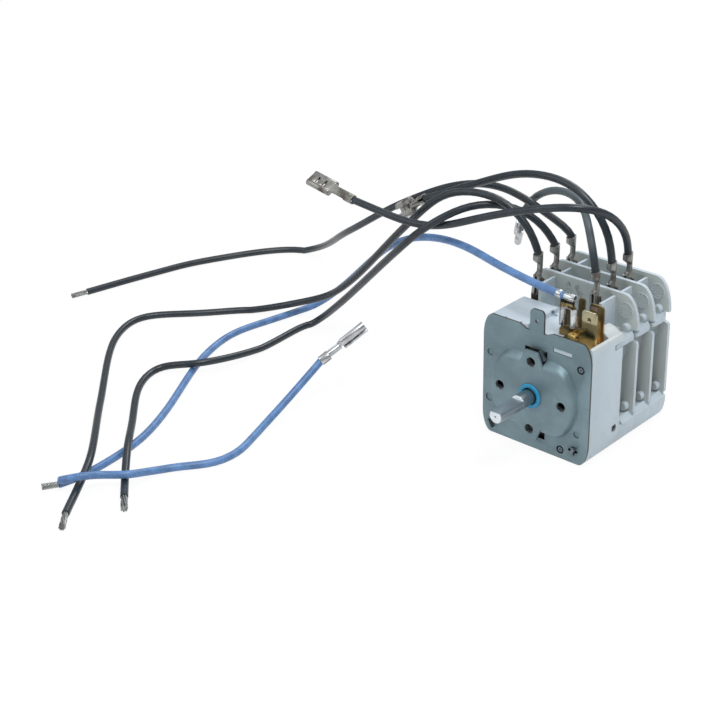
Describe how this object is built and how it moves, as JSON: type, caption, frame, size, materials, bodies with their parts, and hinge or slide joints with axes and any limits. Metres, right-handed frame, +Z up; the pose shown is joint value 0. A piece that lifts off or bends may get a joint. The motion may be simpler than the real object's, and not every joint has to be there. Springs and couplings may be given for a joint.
{
  "type": "sauna timer switch",
  "caption": "Clockwork timer switch with a pressed steel front plate, control shaft, stacked contact modules and pre-fitted wires.",
  "frame": {"origin": "on the control shaft axis, in the outer face of the front plate dome, at the centre of the four fixing holes", "axes": "+X to the right seen from the front, +Y along the shaft into the switch, +Z up towards the earth tab and the terminals"},
  "size_m": [0.2669, 0.2355, 0.0945],
  "materials": {
    "zinc_plated_steel": "satin",
    "blue_plastic": "satin",
    "grey_plastic": "matte",
    "clock_plate_brass": "satin",
    "steel": "satin",
    "spring_steel": "satin",
    "oxidised_terminal": "dull",
    "contact_bronze": "satin",
    "brass": "polished",
    "tarnished_brass": "tarnished",
    "cam_plastic": "matte",
    "follower_plastic": "matte",
    "gear_brass": "satin",
    "black_insulation": "satin",
    "blue_insulation": "satin",
    "tinned_brass": "satin",
    "copper_strands": "dull"
  },
  "bodies": {
    "switch": {"front_plate": "zinc_plated_steel", "shaft_bushing": "blue_plastic", "clock_housing": "grey_plastic", "movement_plate": "clock_plate_brass", "front_movement_plate": "clock_plate_brass", "housing_rivets": "steel", "mainspring": "spring_steel", "balance_spring": "spring_steel", "module_housing_1": "grey_plastic", "module_housing_2": "grey_plastic", "module_housing_3": "grey_plastic", "left_terminal_1": "oxidised_terminal", "left_terminal_2": "oxidised_terminal", "left_terminal_3": "oxidised_terminal", "right_terminal_1": "oxidised_terminal", "right_terminal_2": "oxidised_terminal", "right_terminal_3": "oxidised_terminal", "contact_spring_1": "contact_bronze", "contact_spring_2": "contact_bronze", "contact_spring_3": "contact_bronze", "neutral_bracket": "brass", "rear_brass_terminal": "tarnished_brass", "spring_clip": "brass", "wire_a": "black_insulation", "wire_b": "black_insulation", "wire_c": "black_insulation", "wire_d_loose": "black_insulation", "wire_e": "black_insulation", "wire_f": "black_insulation", "blue_wire_1": "blue_insulation", "blue_wire_2": "blue_insulation", "plug_left_1": "tinned_brass", "plug_left_2": "tinned_brass", "plug_left_3": "tinned_brass", "plug_right_1": "tinned_brass", "plug_right_2": "tinned_brass", "plug_right_3": "tinned_brass", "flag_receptacle": "tinned_brass", "receptacle_d": "tinned_brass", "receptacle_e": "tinned_brass", "receptacle_f": "tinned_brass", "receptacle_blue": "tinned_brass", "stripped_end_a": "copper_strands", "stripped_end_b": "copper_strands", "stripped_end_c": "copper_strands", "stripped_end_blue": "copper_strands"},
    "shaft_set": {"control_shaft": "steel", "great_wheel": "gear_brass", "cam_1": "cam_plastic", "cam_2": "cam_plastic", "cam_3": "cam_plastic"},
    "second_wheel": {"second_wheel": "gear_brass"},
    "third_wheel": {"third_wheel": "gear_brass"},
    "escape_wheel": {"escape_wheel": "gear_brass"},
    "pallet_lever": {"pallet_lever": "steel"},
    "balance_wheel": {"balance_wheel": "gear_brass"},
    "follower_1": {"follower_1": "follower_plastic"},
    "follower_2": {"follower_2": "follower_plastic"},
    "follower_3": {"follower_3": "follower_plastic"}
  },
  "joints": [
    {"name": "shaft_turn", "type": "hinge", "parent": "switch", "child": "shaft_set", "pos_m": [0, 0, 0], "axis": [0, 1, 0], "range_deg": [0, 300]},
    {"name": "second_wheel_spin", "type": "hinge", "parent": "switch", "child": "second_wheel", "pos_m": [-0.01, 0, 0.01], "axis": [0, 1, 0], "range_deg": [-1800, 0]},
    {"name": "third_wheel_spin", "type": "hinge", "parent": "switch", "child": "third_wheel", "pos_m": [-0.01337, 0, -0.00037], "axis": [0, 1, 0], "range_deg": [0, 9000]},
    {"name": "escape_wheel_spin", "type": "hinge", "parent": "switch", "child": "escape_wheel", "pos_m": [-0.01337, 0, -0.00836], "axis": [0, 1, 0], "range_deg": [-36000, 0]},
    {"name": "pallet_rock", "type": "hinge", "parent": "switch", "child": "pallet_lever", "pos_m": [-0.00848, 0, -0.01418], "axis": [0, 1, 0], "range_deg": [-7, 7]},
    {"name": "balance_swing", "type": "hinge", "parent": "switch", "child": "balance_wheel", "pos_m": [0, 0, -0.015], "axis": [0, 1, 0], "range_deg": [-150, 150], "stiffness_Nm_per_rad": 0.000006},
    {"name": "follower_1_lift", "type": "slide", "parent": "switch", "child": "follower_1", "axis": [0, 0, 1], "range_m": [-0.0012, 0], "stiffness_N_per_m": 20, "springref_m": -0.0012, "deforming": ["contact_spring_1"]},
    {"name": "follower_2_lift", "type": "slide", "parent": "switch", "child": "follower_2", "axis": [0, 0, 1], "range_m": [-0.0012, 0], "stiffness_N_per_m": 20, "springref_m": -0.0012, "deforming": ["contact_spring_2"]},
    {"name": "follower_3_lift", "type": "slide", "parent": "switch", "child": "follower_3", "axis": [0, 0, 1], "range_m": [-0.0012, 0], "stiffness_N_per_m": 20, "springref_m": -0.0012, "deforming": ["contact_spring_3"]}
  ],
  "couplings": [
    {"joint": "second_wheel_spin", "follows": "shaft_turn", "ratio": -6},
    {"joint": "third_wheel_spin", "follows": "shaft_turn", "ratio": 30},
    {"joint": "escape_wheel_spin", "follows": "shaft_turn", "ratio": -120}
  ]
}
